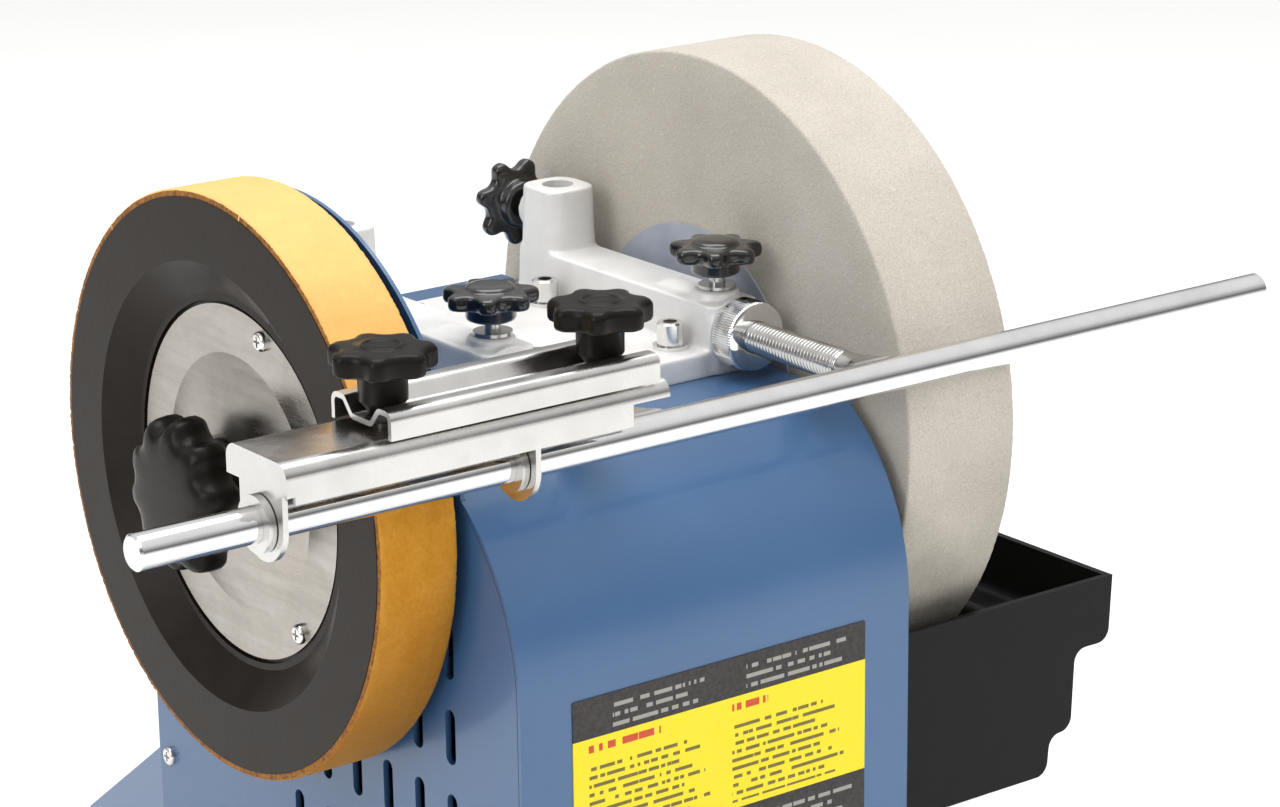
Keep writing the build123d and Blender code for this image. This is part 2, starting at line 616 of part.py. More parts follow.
def grinding_stone():
    stone = tube("x", STONE_RADIUS, SHAFT_RADIUS, STONE_X, STONE_X + STONE_WIDTH)
    rims = stone.edges().filter_by(GeomType.CIRCLE).filter_by(lambda edge: edge.radius > STONE_RADIUS - 1)
    return chamfer(rims, 0.8)


def stone_blotters():
    end = STONE_X + STONE_WIDTH
    inner = tube("x", BLOTTER_RADIUS, SHAFT_RADIUS, STONE_X - 0.8, STONE_X)
    return group(inner, tube("x", BLOTTER_RADIUS, SHAFT_RADIUS, end, end + 0.8))


def stone_flanges():
    end = STONE_X + STONE_WIDTH + 0.8
    inner = tube("x", FLANGE_RADIUS, SHAFT_RADIUS, STONE_X - 3.6, STONE_X - 0.8)
    outer = tube("x", FLANGE_RADIUS, SHAFT_RADIUS, end, end + 6.0)
    outer = chamfer(outer.faces().sort_by(Axis.X)[-1].edges().sort_by(SortBy.LENGTH)[-1:], 2.0)
    return group(inner, outer)


def spacer_sleeve():
    return tube("x", 12.0, SHAFT_RADIUS, 191.3, STONE_X - 3.6)


def stone_nut():
    start = STONE_X + STONE_WIDTH + 6.8
    face = RegularPolygon(12.7, 6) - Circle(SHAFT_RADIUS)
    return prism_x(face, start, start + 10.0)


# ---- drive ----
def motor_body():
    """Finned motor housing."""
    body = rod("x", MOTOR_RADIUS - 3.0, *MOTOR_X, (MOTOR_Y, MOTOR_Z))
    for angle in range(0, 360, 20):
        fin = block(MOTOR_X, (-1.2, 1.2), (MOTOR_RADIUS - 5.0, MOTOR_RADIUS))
        body += Pos(0, MOTOR_Y, MOTOR_Z) * Rot(angle, 0, 0) * fin
    return body


def motor_end_caps():
    at = (MOTOR_Y, MOTOR_Z)
    left = rod("x", MOTOR_RADIUS - 1, MOTOR_X[0] - 8, MOTOR_X[0], at)
    left += rod("x", 18.0, MOTOR_X[0] - 14, MOTOR_X[0] - 8, at)
    left -= rod("x", SHAFT_RADIUS + RUN_CLEARANCE, MOTOR_X[0] - 20, MOTOR_X[0] + 1, at)
    right = rod("x", MOTOR_RADIUS - 1, MOTOR_X[1], MOTOR_X[1] + 8, at)
    return group(left, fillet(right.faces().sort_by(Axis.X)[-1].edges(), 4.0))


def motor_shaft():
    return rod("x", SHAFT_RADIUS, 29.0, MOTOR_X[0], (MOTOR_Y, MOTOR_Z))


def drive_roller():
    roller = rod("x", ROLLER_RADIUS, 10.0, 29.0, (MOTOR_Y, MOTOR_Z))
    return chamfer(roller.edges().filter_by(GeomType.CIRCLE), 0.5)


def motor_bracket():
    """Two saddles on a foot plate that hold the motor from below."""
    floor = BASE_Z + SHEET
    bracket = block((66.0, 159.0), (MOTOR_Y - 45, MOTOR_Y + 45), (floor, floor + 3))
    for x in (72.0, 149.0):
        saddle = block((x, x + 4), (MOTOR_Y - 40, MOTOR_Y + 40), (floor + 3, MOTOR_Z - 10))
        bracket += saddle - rod("x", MOTOR_RADIUS + 0.1, x - 1, x + 5, (MOTOR_Y, MOTOR_Z))
    return bracket


def motor_bolts():
    floor = BASE_Z + SHEET + 3
    heads = []
    for x in (85.0, 140.0):
        for y in (MOTOR_Y - 36, MOTOR_Y + 36):
            heads.append(Pos(x, y, floor) * extrude(RegularPolygon(5.8, 6), 4.0))
    return group(*heads)


def run_capacitor():
    return rod("x", 17.0, 90.0, 150.0, (-80.0, BASE_Z + SHEET + 17.0))


# ---- water trough ----
def trough_outline(inset):
    """End view of the trough: the right wall steps in twice towards the floor."""
    rim_z = TROUGH_RIM_Z + (5.0 if inset else 0.0)
    points = [(TROUGH_X[0] + inset, rim_z), (TROUGH_X[1] - inset, rim_z)]
    for index, (wall_x, tread_z) in enumerate(TROUGH_STEPS):
        points.append((wall_x - inset, tread_z + inset))
        if index + 1 < len(TROUGH_STEPS):
            points.append((TROUGH_STEPS[index + 1][0] - inset + 1.5, tread_z + inset))
    points.append((TROUGH_X[0] + inset, TROUGH_STEPS[-1][1] + inset))
    face = make_face(Polyline(*points, close=True))
    lower = [vertex for vertex in face.vertices() if vertex.Y < TROUGH_RIM_Z - 10]
    return fillet(lower, 4.5 if inset else 5.5)


def water_trough():
    shell = prism_y(trough_outline(0.0), -TROUGH_HALF_LENGTH, TROUGH_HALF_LENGTH)
    inside = TROUGH_HALF_LENGTH - TROUGH_WALL
    return shell - prism_y(trough_outline(TROUGH_WALL), -inside, inside)


def trough_carrier():
    """Angle plate under the trough; its upright leg is slotted for height setting."""
    shelf = (TROUGH_STEPS[-1][1] - 1.8, TROUGH_STEPS[-1][1])
    start = RIGHT_PANEL_X + GAP
    carrier = block((start, start + SHEET), (-60, 60), (shelf[0], CARRIER_TOP_Z))
    carrier += block((start, 248.0), (-CARRIER_HALF_LENGTH, CARRIER_HALF_LENGTH), shelf)
    width = 2 * (CARRIER_SCREW_RADIUS + GAP)
    for y in CARRIER_SCREW_Y:
        slot = Pos(y, CARRIER_SCREW_Z + TROUGH_TRAVEL / 2) * slot_face(TROUGH_TRAVEL + width + GAP, width)
        carrier -= prism_x(slot, start - 2, start + SHEET + 2)
    return carrier


def carrier_screws():
    """Shouldered screws through the carrier's slots."""
    screws = []
    under_head = RIGHT_PANEL_X + SHEET + 2 * GAP
    for y in CARRIER_SCREW_Y:
        place = (y, CARRIER_SCREW_Z)
        stem = rod("x", CARRIER_SCREW_RADIUS, RIGHT_PANEL_X, under_head, place)
        screws.append(stem + rod("x", 5.0, under_head, under_head + 2.0, place))
    return group(*screws)


# ---- every part, by name ----
PARTS = {
    "base_frame": base_frame(),
    "front_cover": front_cover(),
    "left_side_panel": left_side_panel(),
    "right_side_panel": right_side_panel(),
    "panel_screws": panel_screws(),
    "rubber_feet": rubber_feet(),
    "front_placard": front_placard(),
    "switch_bezel": switch_bezel(),
    "switch_rocker": switch_rocker(),
    "cable_gland": cable_gland(),
    "support_casting": support_casting(),
    "casting_screws": casting_screws(),
    "casting_washers": casting_washers(),
    "support_bar": support_bar(),
    "plain_leg": leg(LEG_X[0]),
    "threaded_leg": leg(LEG_X[1]),
    "adjusting_nut": adjusting_nut(),
    "jig_base": jig_base(),
    "jig_bushes": jig_bushes(),
    "jig_clamp": jig_clamp(),
    "main_shaft": main_shaft(),
    "bearing_blocks": bearing_blocks(),
    "bearing_bushes": bearing_bushes(),
    "honing_disc": honing_disc(),
    "friction_ring": friction_ring(),
    "leather_band": leather_band(),
    "honing_cap": honing_cap(),
    "honing_cap_screws": honing_cap_screws(),
    "honing_hand_nut": honing_hand_nut(),
    "grinding_stone": grinding_stone(),
    "stone_blotters": stone_blotters(),
    "stone_flanges": stone_flanges(),
    "spacer_sleeve": spacer_sleeve(),
    "stone_nut": stone_nut(),
    "motor_body": motor_body(),
    "motor_end_caps": motor_end_caps(),
    "motor_shaft": motor_shaft(),
    "drive_roller": drive_roller(),
    "motor_bracket": motor_bracket(),
    "motor_bolts": motor_bolts(),
    "run_capacitor": run_capacitor(),
    "water_trough": water_trough(),
    "trough_carrier": trough_carrier(),
    "carrier_screws": carrier_screws(),
}
arm_stud_reach = ARM_TOP_Z + BOSS_HEIGHT + KNOB_LIFT - BAR_Z - BAR_RADIUS
post_stud_reach = BOSS_END_Y + KNOB_LIFT - POST_Y - BAR_RADIUS
for side, x in zip(("left", "right"), LEG_X):
    PARTS["arm_knob_" + side] = arm_knob_place(x) * star_knob()
    PARTS["arm_stud_" + side] = arm_knob_place(x) * knob_stud(arm_stud_reach)
    PARTS["post_knob_" + side] = post_knob_place(x) * star_knob()
    PARTS["post_stud_" + side] = post_knob_place(x) * knob_stud(post_stud_reach)
for side, x in zip(("left", "right"), JIG_KNOB_X):
    PARTS["jig_knob_" + side] = Pos(x, JIG_KNOB_Y, CLAMP_SEAT_Z) * jig_knob()
    PARTS["jig_stud_" + side] = jig_stud(x)

os.makedirs("parts", exist_ok=True)
for name, part in PARTS.items():
    export_step(Pos(*BENCH) * part, "parts/" + name + ".step")
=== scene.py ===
import bpy
import bmesh
import json
from math import cos, pi, radians, sin, sqrt
from mathutils import Matrix, Vector, noise


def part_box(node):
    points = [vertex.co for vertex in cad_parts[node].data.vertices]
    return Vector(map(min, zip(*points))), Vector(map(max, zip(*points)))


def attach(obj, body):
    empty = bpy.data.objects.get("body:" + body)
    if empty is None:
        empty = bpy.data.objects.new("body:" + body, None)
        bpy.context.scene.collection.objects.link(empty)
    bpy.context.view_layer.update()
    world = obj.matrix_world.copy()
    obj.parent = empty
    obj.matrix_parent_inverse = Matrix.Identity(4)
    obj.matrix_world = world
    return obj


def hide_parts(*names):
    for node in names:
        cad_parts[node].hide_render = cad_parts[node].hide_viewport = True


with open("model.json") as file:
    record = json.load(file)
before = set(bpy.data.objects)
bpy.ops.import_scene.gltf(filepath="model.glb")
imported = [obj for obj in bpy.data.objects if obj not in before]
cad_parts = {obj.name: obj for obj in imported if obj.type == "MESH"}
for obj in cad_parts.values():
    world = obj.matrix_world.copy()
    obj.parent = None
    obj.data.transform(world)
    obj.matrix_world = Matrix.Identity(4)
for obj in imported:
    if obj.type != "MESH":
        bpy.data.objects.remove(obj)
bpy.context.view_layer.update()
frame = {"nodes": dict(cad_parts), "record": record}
MM = 0.001
BAR_BORE = 6.05 * MM            # radius of the holes that take the 12 mm bar and legs
STUD_BORE = 3.1 * MM            # radius of the holes that take the clamping studs
NECK_FLAT = 5.9 * MM            # half height to which a leg is pressed flat where it meets the bar


# ---------------------------------------------------------------- materials
def srgb(r, g, b):
    """Colour given as 0-255 sRGB, as linear values."""
    def lin(c):
        c /= 255.0
        return c / 12.92 if c <= 0.04045 else ((c + 0.055) / 1.055) ** 2.4
    return (lin(r), lin(g), lin(b), 1.0)


class Paint:
    """A node material under construction: one Principled shader in object coordinates, metres."""

    def __init__(self, name, **sockets):
        self.mat = bpy.data.materials.new(name)
        self.mat.use_nodes = True
        self.tree = self.mat.node_tree
        self.tree.nodes.clear()
        self.out = self.add("ShaderNodeOutputMaterial")
        self.bsdf = self.add("ShaderNodeBsdfPrincipled")
        self.tree.links.new(self.bsdf.outputs[0], self.out.inputs[0])
        self.coords = self.add("ShaderNodeTexCoord").outputs["Object"]
        self.last_normal = None
        for key, value in sockets.items():
            self.bsdf.inputs[key.replace("_", " ")].default_value = value

    def add(self, kind, **attributes):
        node = self.tree.nodes.new(kind)
        for key, value in attributes.items():
            setattr(node, key, value)
        return node

    def link(self, a, b):
        self.tree.links.new(a, b)

    def mapped(self, scale=(1, 1, 1), location=(0, 0, 0), rotation=(0, 0, 0)):
        node = self.add("ShaderNodeMapping")
        node.inputs["Scale"].default_value = scale
        node.inputs["Location"].default_value = location
        node.inputs["Rotation"].default_value = rotation
        self.link(self.coords, node.inputs["Vector"])
        return node.outputs[0]

    def noise(self, scale, detail=4.0, roughness=0.55, vector=None, distortion=0.0):
        node = self.add("ShaderNodeTexNoise")
        node.inputs["Scale"].default_value = scale
        node.inputs["Detail"].default_value = detail
        node.inputs["Roughness"].default_value = roughness
        node.inputs["Distortion"].default_value = distortion
        self.link(vector or self.coords, node.inputs["Vector"])
        return node.outputs["Fac"]

    def cells(self, scale, feature="F1", vector=None):
        node = self.add("ShaderNodeTexVoronoi", feature=feature)
        node.inputs["Scale"].default_value = scale
        self.link(vector or self.coords, node.inputs["Vector"])
        return node.outputs["Distance"]

    def ramp(self, fac, stops):
        node = self.add("ShaderNodeValToRGB")
        elements = node.color_ramp.elements
        while len(elements) < len(stops):
            elements.new(0.5)
        for element, (position, colour) in zip(elements, stops):
            element.position = position
            element.color = colour if len(colour) == 4 else (*colour, 1.0)
        self.link(fac, node.inputs["Fac"])
        return node.outputs["Color"]

    def span(self, fac, low, high, start=0.0, end=1.0):
        node = self.add("ShaderNodeMapRange")
        for key, value in (("From Min", start), ("From Max", end), ("To Min", low), ("To Max", high)):
            node.inputs[key].default_value = value
        self.link(fac, node.inputs["Value"])
        return node.outputs["Result"]

    def mix(self, fac, a, b, blend="MIX"):
        node = self.add("ShaderNodeMix", data_type="RGBA", blend_type=blend)
        for socket, value in ((node.inputs["Factor"], fac), (node.inputs[6], a), (node.inputs[7], b)):
            if hasattr(value, "is_output"):
                self.link(value, socket)
            else:
                socket.default_value = value
        return node.outputs[2]

    def math(self, operation, a, b=0.0):
        node = self.add("ShaderNodeMath", operation=operation)
        for socket, value in zip(node.inputs, (a, b)):
            if hasattr(value, "is_output"):
                self.link(value, socket)
            else:
                socket.default_value = value
        return node.outputs[0]

    def axis(self, name):
        node = self.add("ShaderNodeSeparateXYZ")
        self.link(self.coords, node.inputs[0])
        return node.outputs[name]

    def colour(self, socket):
        self.link(socket, self.bsdf.inputs["Base Color"])

    def rough(self, socket):
        self.link(socket, self.bsdf.inputs["Roughness"])

    def bump(self, height, distance, strength=1.0):
        node = self.add("ShaderNodeBump")
        node.inputs["Strength"].default_value = strength
        node.inputs["Distance"].default_value = distance
        self.link(height, node.inputs["Height"])
        if self.last_normal is not None:
            self.link(self.last_normal, node.inputs["Normal"])
        self.last_normal = node.outputs["Normal"]
        self.link(self.last_normal, self.bsdf.inputs["Normal"])


def two_tone(name, dark, light, scale, rough, bump_scale, bump_mm, detail=4.0, **sockets):
    """Base recipe: two near colours mixed by noise, roughness from the same noise, fine bump."""
    paint = Paint(name, **sockets)
    grain = paint.noise(scale, detail)
    paint.colour(paint.ramp(grain, ((0.3, dark), (0.7, light))))
    paint.rough(paint.span(grain, rough[0], rough[1], 0.3, 0.7))
    paint.bump(paint.noise(bump_scale, 3.0), bump_mm * MM)
    return paint


def blue_paint():
    dark, light = srgb(57, 91, 131), srgb(65, 100, 141)
    paint = two_tone("blue_powder_coat", dark, light, 9.0, (0.32, 0.4), 900.0, 0.035)
    paint.bsdf.inputs["Coat Weight"].default_value = 0.35
    paint.bsdf.inputs["Coat Roughness"].default_value = 0.12
    paint.bump(paint.noise(330.0, 2.0), 0.05 * MM, 0.5)
    return paint.mat


def suede():
    paint = Paint("honing_leather", Sheen_Weight=0.35, Sheen_Roughness=0.45, Specular_IOR_Level=0.2)
    paint.bsdf.inputs["Sheen Tint"].default_value = srgb(255, 214, 140)
    blotch = paint.noise(38.0, 6.0, 0.62)
    fibre = paint.noise(620.0, 5.0, 0.7)
    nap = paint.noise(120.0, 8.0, 0.72, distortion=0.6)
    stops = ((0.25, srgb(190, 128, 34)), (0.5, srgb(210, 148, 48)), (0.75, srgb(226, 166, 70)))
    tone = paint.ramp(blotch, stops)
    tone = paint.mix(paint.span(fibre, 0.0, 0.5, 0.35, 0.75), tone, srgb(176, 108, 18))
    tone = paint.mix(paint.span(nap, 0.0, 0.35, 0.5, 0.8), tone, srgb(248, 196, 96))
    # Painted highlight: the top of the band is blended towards pale cream by height, standing in for strong
    # light from above.
    painted_top_highlight = paint.span(paint.axis("Z"), 0.0, 0.55, 0.235, 0.305)
    # Painted shade: the lower part of the band is blended towards dark brown by height, standing in for weak
    # light there.
    painted_low_shade = paint.span(paint.axis("Z"), 0.75, 0.0, 0.14, 0.235)
    tone = paint.mix(painted_top_highlight, tone, srgb(252, 214, 150))
    tone = paint.mix(painted_low_shade, tone, srgb(128, 76, 6))
    paint.colour(tone)
    paint.rough(paint.span(nap, 0.82, 0.98))
    paint.bump(nap, 0.55 * MM, 0.6)
    paint.bump(fibre, 0.22 * MM, 0.7)
    return paint.mat


def hide_edge():
    dark, light = srgb(92, 56, 22), srgb(168, 112, 48)
    return two_tone("leather_cut_edge", dark, light, 700.0, (0.85, 0.95), 900.0, 0.3).mat


def stone():
    paint = Paint("grinding_stone_grit", Specular_IOR_Level=0.25)
    cloud = paint.noise(14.0, 6.0, 0.6)
    speck = paint.noise(1500.0, 3.0, 0.65)
    pits = paint.cells(520.0)
    stops = ((0.3, srgb(184, 177, 166)), (0.55, srgb(196, 189, 178)), (0.75, srgb(206, 199, 188)))
    tone = paint.ramp(cloud, stops)
    tone = paint.mix(paint.span(speck, 0.0, 0.45, 0.45, 0.72), tone, srgb(126, 123, 116))
    tone = paint.mix(paint.span(paint.noise(900.0, 2.0), 0.0, 0.5, 0.6, 0.75), tone, srgb(214, 212, 206))
    low = paint.span(paint.axis("Z"), 1.0, 0.0, 0.115, 0.215)
    damp = paint.math("MULTIPLY", low, paint.span(paint.noise(30.0, 5.0), 0.4, 1.0, 0.3, 0.7))
    tone = paint.mix(damp, tone, srgb(96, 92, 84))
    paint.colour(tone)
    paint.rough(paint.span(cloud, 0.86, 0.97))
    paint.bump(pits, 0.35 * MM, 0.35)
    paint.bump(speck, 0.3 * MM, 0.6)
    return paint.mat


def cast_silver():
    dark, light = srgb(222, 221, 219), srgb(234, 233, 231)
    paint = two_tone("cast_aluminium_silver", dark, light, 60.0, (0.42, 0.54), 1300.0, 0.05, Metallic=0.3)
    paint.bump(paint.noise(260.0, 3.0), 0.07 * MM, 0.5)
    return paint.mat


def chrome(name, dark, light, rough, wave_scale, wave_mm):
    paint = two_tone(name, dark, light, 45.0, rough, wave_scale, wave_mm, Metallic=1.0)
    return paint.mat


def pressed_cap():
    """Zinc-plated pressed disc: cloudy plating and faint straight streaks from stretched noise."""
    paint = Paint("plated_cap", Metallic=1.0)
    cloud = paint.noise(26.0, 6.0, 0.65, distortion=0.8)
    streak = paint.noise(60.0, 6.0, 0.7, paint.mapped(scale=(1.0, 0.35, 3.2), rotation=(0.6, 0.0, 0.0)))
    both = paint.math("MULTIPLY", paint.math("ADD", cloud, streak), 0.5)
    stops = ((0.3, srgb(146, 141, 134)), (0.5, srgb(170, 164, 157)), (0.7, srgb(194, 190, 184)))
    paint.colour(paint.ramp(both, stops))
    paint.rough(paint.span(both, 0.17, 0.42, 0.3, 0.7))
    paint.bump(both, 0.25 * MM, 0.5)
    paint.bump(paint.noise(900.0, 3.0), 0.02 * MM)
    return paint.mat


def plastic(name, dark, light, rough, grain_mm, coat=0.0, scale=1100.0, specular=0.5):
    paint = two_tone(name, dark, light, 80.0, rough, scale, grain_mm, Specular_IOR_Level=specular)
    paint.bsdf.inputs["Coat Weight"].default_value = coat
    paint.bsdf.inputs["Coat Roughness"].default_value = 0.08
    return paint.mat


def placard_print():
    """Generic placard: black head and foot, yellow field, rows of plain bars in place of lettering."""
    low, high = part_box("front_placard")
    paint = Paint("placard_print", Roughness=0.4, Specular_IOR_Level=0.18)
    paint.bsdf.inputs["Coat Weight"].default_value = 0.05
    paint.bsdf.inputs["Coat Roughness"].default_value = 0.15
    up = paint.span(paint.axis("Z"), 0.0, 1.0, low.z, high.z)
    across = paint.span(paint.axis("X"), 0.0, 1.0, low.x, high.x)

    def within(value, start, end):
        above = paint.math("GREATER_THAN", value, start)
        return paint.math("MULTIPLY", above, paint.math("LESS_THAN", value, end))

    def bars(columns, rows, period, fill):
        """Rows of short bars between `rows`, in each of the (start, end) `columns`."""
        phase = paint.math("FRACT", paint.math("DIVIDE", up, period))
        row = paint.math("FLOOR", paint.math("DIVIDE", up, period))
        ragged = paint.math("FRACT", paint.math("MULTIPLY", row, 0.618))
        shown = None
        for start, end in columns:
            reach = paint.span(ragged, start + (end - start) * 0.72, end)
            column = paint.math("MULTIPLY", paint.math("GREATER_THAN", across, start),
                                paint.math("LESS_THAN", across, reach))
            shown = column if shown is None else paint.math("MAXIMUM", shown, column)
        word = paint.add("ShaderNodeTexNoise")
        word.inputs["Scale"].default_value = 1.0
        word.inputs["Detail"].default_value = 0.0
        joined = paint.add("ShaderNodeCombineXYZ")
        paint.link(paint.math("MULTIPLY", across, 55.0), joined.inputs[0])
        paint.link(paint.math("MULTIPLY", row, 7.3), joined.inputs[1])
        paint.link(joined.outputs[0], word.inputs["Vector"])
        shown = paint.math("MULTIPLY", shown, within(phase, 0.5 - fill / 2, 0.5 + fill / 2))
        shown = paint.math("MULTIPLY", shown, within(up, *rows))
        return paint.math("MULTIPLY", shown, paint.math("GREATER_THAN", word.outputs["Fac"], 0.42))

    field = within(up, 0.24, 0.803)
    black, yellow = srgb(34, 31, 29), srgb(236, 214, 4)
    grain = paint.noise(700.0, 3.0)
    tone = paint.mix(field, black, yellow)
    tone = paint.mix(bars(((0.05, 0.46), (0.53, 0.93)), (0.27, 0.68), 0.042, 0.42), tone, srgb(108, 96, 28))
    tone = paint.mix(bars(((0.05, 0.34), (0.53, 0.68)), (0.71, 0.77), 0.06, 0.6), tone, srgb(196, 66, 24))
    for rows in ((0.825, 0.97), (0.03, 0.2)):
        tone = paint.mix(bars(((0.13, 0.46), (0.58, 0.97)), rows, 0.048, 0.42), tone, srgb(150, 148, 142))
    tone = paint.mix(paint.span(grain, 0.0, 0.06), tone, srgb(255, 255, 255))
    paint.colour(tone)
    paint.bump(grain, 0.01 * MM)
    return paint.mat


M = {
    "blue": blue_paint(),
    "suede": suede(),
    "hide_edge": hide_edge(),
    "stone": stone(),
    "casting": cast_silver(),
    "chrome": chrome("chrome_bar", srgb(222, 222, 222), srgb(236, 236, 236), (0.05, 0.1), 240.0, 0.012),
    "jig_chrome": chrome("plated_pressing", srgb(198, 197, 194), srgb(220, 219, 216), (0.2, 0.32), 140.0,
                         0.04),
    "zinc": chrome("zinc_steel", srgb(186, 185, 182), srgb(208, 207, 204), (0.2, 0.3), 700.0, 0.02),
    "thread": chrome("thread_steel", srgb(176, 175, 172), srgb(214, 213, 210), (0.14, 0.24), 900.0, 0.02),
    "dark_thread": chrome("black_oxide_stud", srgb(60, 58, 56), srgb(86, 84, 80), (0.3, 0.42), 900.0, 0.02),
    "screw": chrome("bright_screw", srgb(214, 213, 210), srgb(232, 231, 228), (0.12, 0.2), 700.0, 0.015),
    "cap": pressed_cap(),
    "gloss_black": plastic("gloss_black_plastic", srgb(15, 15, 16), srgb(22, 22, 23), (0.16, 0.24), 0.02,
                           0.5),
    "charcoal": plastic("charcoal_plastic", srgb(18, 15, 12), srgb(24, 21, 18), (0.26, 0.36), 0.03, 0.0,
                        1100.0, 0.15),
    "wheel": plastic("moulded_wheel", srgb(26, 20, 15), srgb(34, 27, 21), (0.28, 0.4), 0.05, 0.0, 500.0,
                     0.15),
    "trough": plastic("trough_plastic", srgb(16, 16, 16), srgb(22, 22, 22), (0.34, 0.46), 0.06, 0.0, 700.0,
                      0.14),
    "rubber": plastic("black_rubber", srgb(24, 24, 24), srgb(34, 34, 33), (0.7, 0.85), 0.12),
    "nylon": plastic("nylon_bush", srgb(222, 220, 210), srgb(232, 230, 222), (0.45, 0.55), 0.03),
    "red": plastic("switch_red", srgb(168, 22, 18), srgb(186, 30, 24), (0.22, 0.3), 0.02, 0.3),
    "motor": plastic("motor_casting", srgb(104, 106, 108), srgb(126, 128, 130), (0.5, 0.62), 0.15),
    "blotter": two_tone("blotter_paper", srgb(152, 158, 172), srgb(170, 175, 186), 90.0, (0.85, 0.95),
                        1500.0, 0.04).mat,
    "placard": placard_print(),
}

NODE_MATERIAL = {
    "base_frame": "blue", "front_cover": "blue", "left_side_panel": "blue", "right_side_panel": "blue",
    "trough_carrier": "blue", "panel_screws": "screw", "casting_screws": "screw", "casting_washers": "screw",
    "carrier_screws": "screw", "honing_cap_screws": "screw", "rubber_feet": "rubber",
    "friction_ring": "rubber",
    "front_placard": "placard", "switch_bezel": "gloss_black", "switch_rocker": "red",
    "cable_gland": "charcoal",
    "support_casting": "casting", "support_bar": "chrome", "plain_leg": "chrome", "threaded_leg": "thread",
    "adjusting_nut": "chrome", "jig_base": "jig_chrome", "jig_clamp": "jig_chrome",
    "jig_bushes": "jig_chrome",
    "main_shaft": "zinc", "bearing_blocks": "casting", "bearing_bushes": "nylon", "honing_disc": "wheel",
    "leather_band": "suede", "honing_cap": "cap", "honing_hand_nut": "charcoal", "grinding_stone": "stone",
    "stone_blotters": "blotter", "stone_flanges": "zinc", "spacer_sleeve": "zinc", "stone_nut": "zinc",
    "motor_body": "motor", "motor_end_caps": "casting", "motor_shaft": "zinc", "drive_roller": "zinc",
    "motor_bracket": "zinc", "motor_bolts": "screw", "run_capacitor": "motor", "water_trough": "trough",
}
for side in ("left", "right"):
    NODE_MATERIAL["arm_knob_" + side] = "gloss_black"
    NODE_MATERIAL["post_knob_" + side] = "gloss_black"
    NODE_MATERIAL["jig_knob_" + side] = "charcoal"
    NODE_MATERIAL["arm_stud_" + side] = "zinc"
    NODE_MATERIAL["post_stud_" + side] = "zinc"
    NODE_MATERIAL["jig_stud_" + side] = "dark_thread"

for name, node in frame["nodes"].items():
    node.data.materials.clear()
    node.data.materials.append(M[NODE_MATERIAL[name]])


# ---------------------------------------------------------------- mesh helpers
BODY_OF = {node: body for body, nodes in frame["record"]["behaviour"]["bodies"].items() for node in nodes}


def centre(node):
    low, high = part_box(node)
    return (low + high) / 2


def piece(name, bm, materials, *nodes, sharp=40.0):
    """A finished mesh that stands for CAD nodes: rides on their body and takes the materials it is given."""
    bmesh.ops.recalc_face_normals(bm, faces=bm.faces)
    mesh = bpy.data.meshes.new(name)
    bm.to_mesh(mesh)
    bm.free()
    for key in materials:
        mesh.materials.append(M[key])
    mesh.shade_smooth()
    mesh.set_sharp_from_angle(angle=radians(sharp))
    obj = bpy.data.objects.new(name, mesh)
    bpy.context.scene.collection.objects.link(obj)
    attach(obj, BODY_OF[nodes[0]])
    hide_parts(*nodes)
    return obj


def grid(bm, rings, closed=True, cap_start=False, cap_end=False, material=0):
    """Skin between rings of equal length; returns the vertex rings."""
    rows = [[bm.verts.new(point) for point in ring] for ring in rings]
    count = len(rows[0])
    last = count if closed else count - 1
    for a, b in zip(rows, rows[1:]):
        for i in range(last):
            j = (i + 1) % count
            face = bm.faces.new((a[i], a[j], b[j], b[i]))
            face.material_index = material
    for wanted, row in ((cap_start, rows[0]), (cap_end, rows[-1])):
        if wanted:
            bm.faces.new(row).material_index = material
    return rows


def around(centre_point, axis, angle, radius, along):
    """Point at `angle` and `radius` round an axis through the centre, `along` from it."""
    c, s = radius * cos(angle), radius * sin(angle)
    if axis == "x":
        return Vector((centre_point.x + along, centre_point.y + c, centre_point.z + s))
    if axis == "y":
        return Vector((centre_point.x + s, centre_point.y + along, centre_point.z + c))
    return Vector((centre_point.x + c, centre_point.y + s, centre_point.z + along))


def circle(at, axis, radius, along, steps):
    """Points evenly round an axis."""
    return [around(at, axis, 2 * pi * i / steps, radius, along) for i in range(steps)]


def lathe(bm, at, axis, profile, steps, wobble=None, closed_profile=True, material=0):
    """Turn (along, radius) points about an axis; `wobble(angle, along, radius)` may shift each point."""
    rings = []
    for along, radius in profile:
        ring = []
        for i in range(steps):
            angle = 2 * pi * i / steps
            a, r = (along, radius) if wobble is None else wobble(angle, along, radius)
            ring.append(around(at, axis, angle, r, a))
        rings.append(ring)
    if closed_profile:
        rings.append(rings[0])
    rows = grid(bm, rings, material=material)
    if closed_profile:
        bmesh.ops.remove_doubles(bm, verts=bm.verts, dist=1e-7)
    return rows


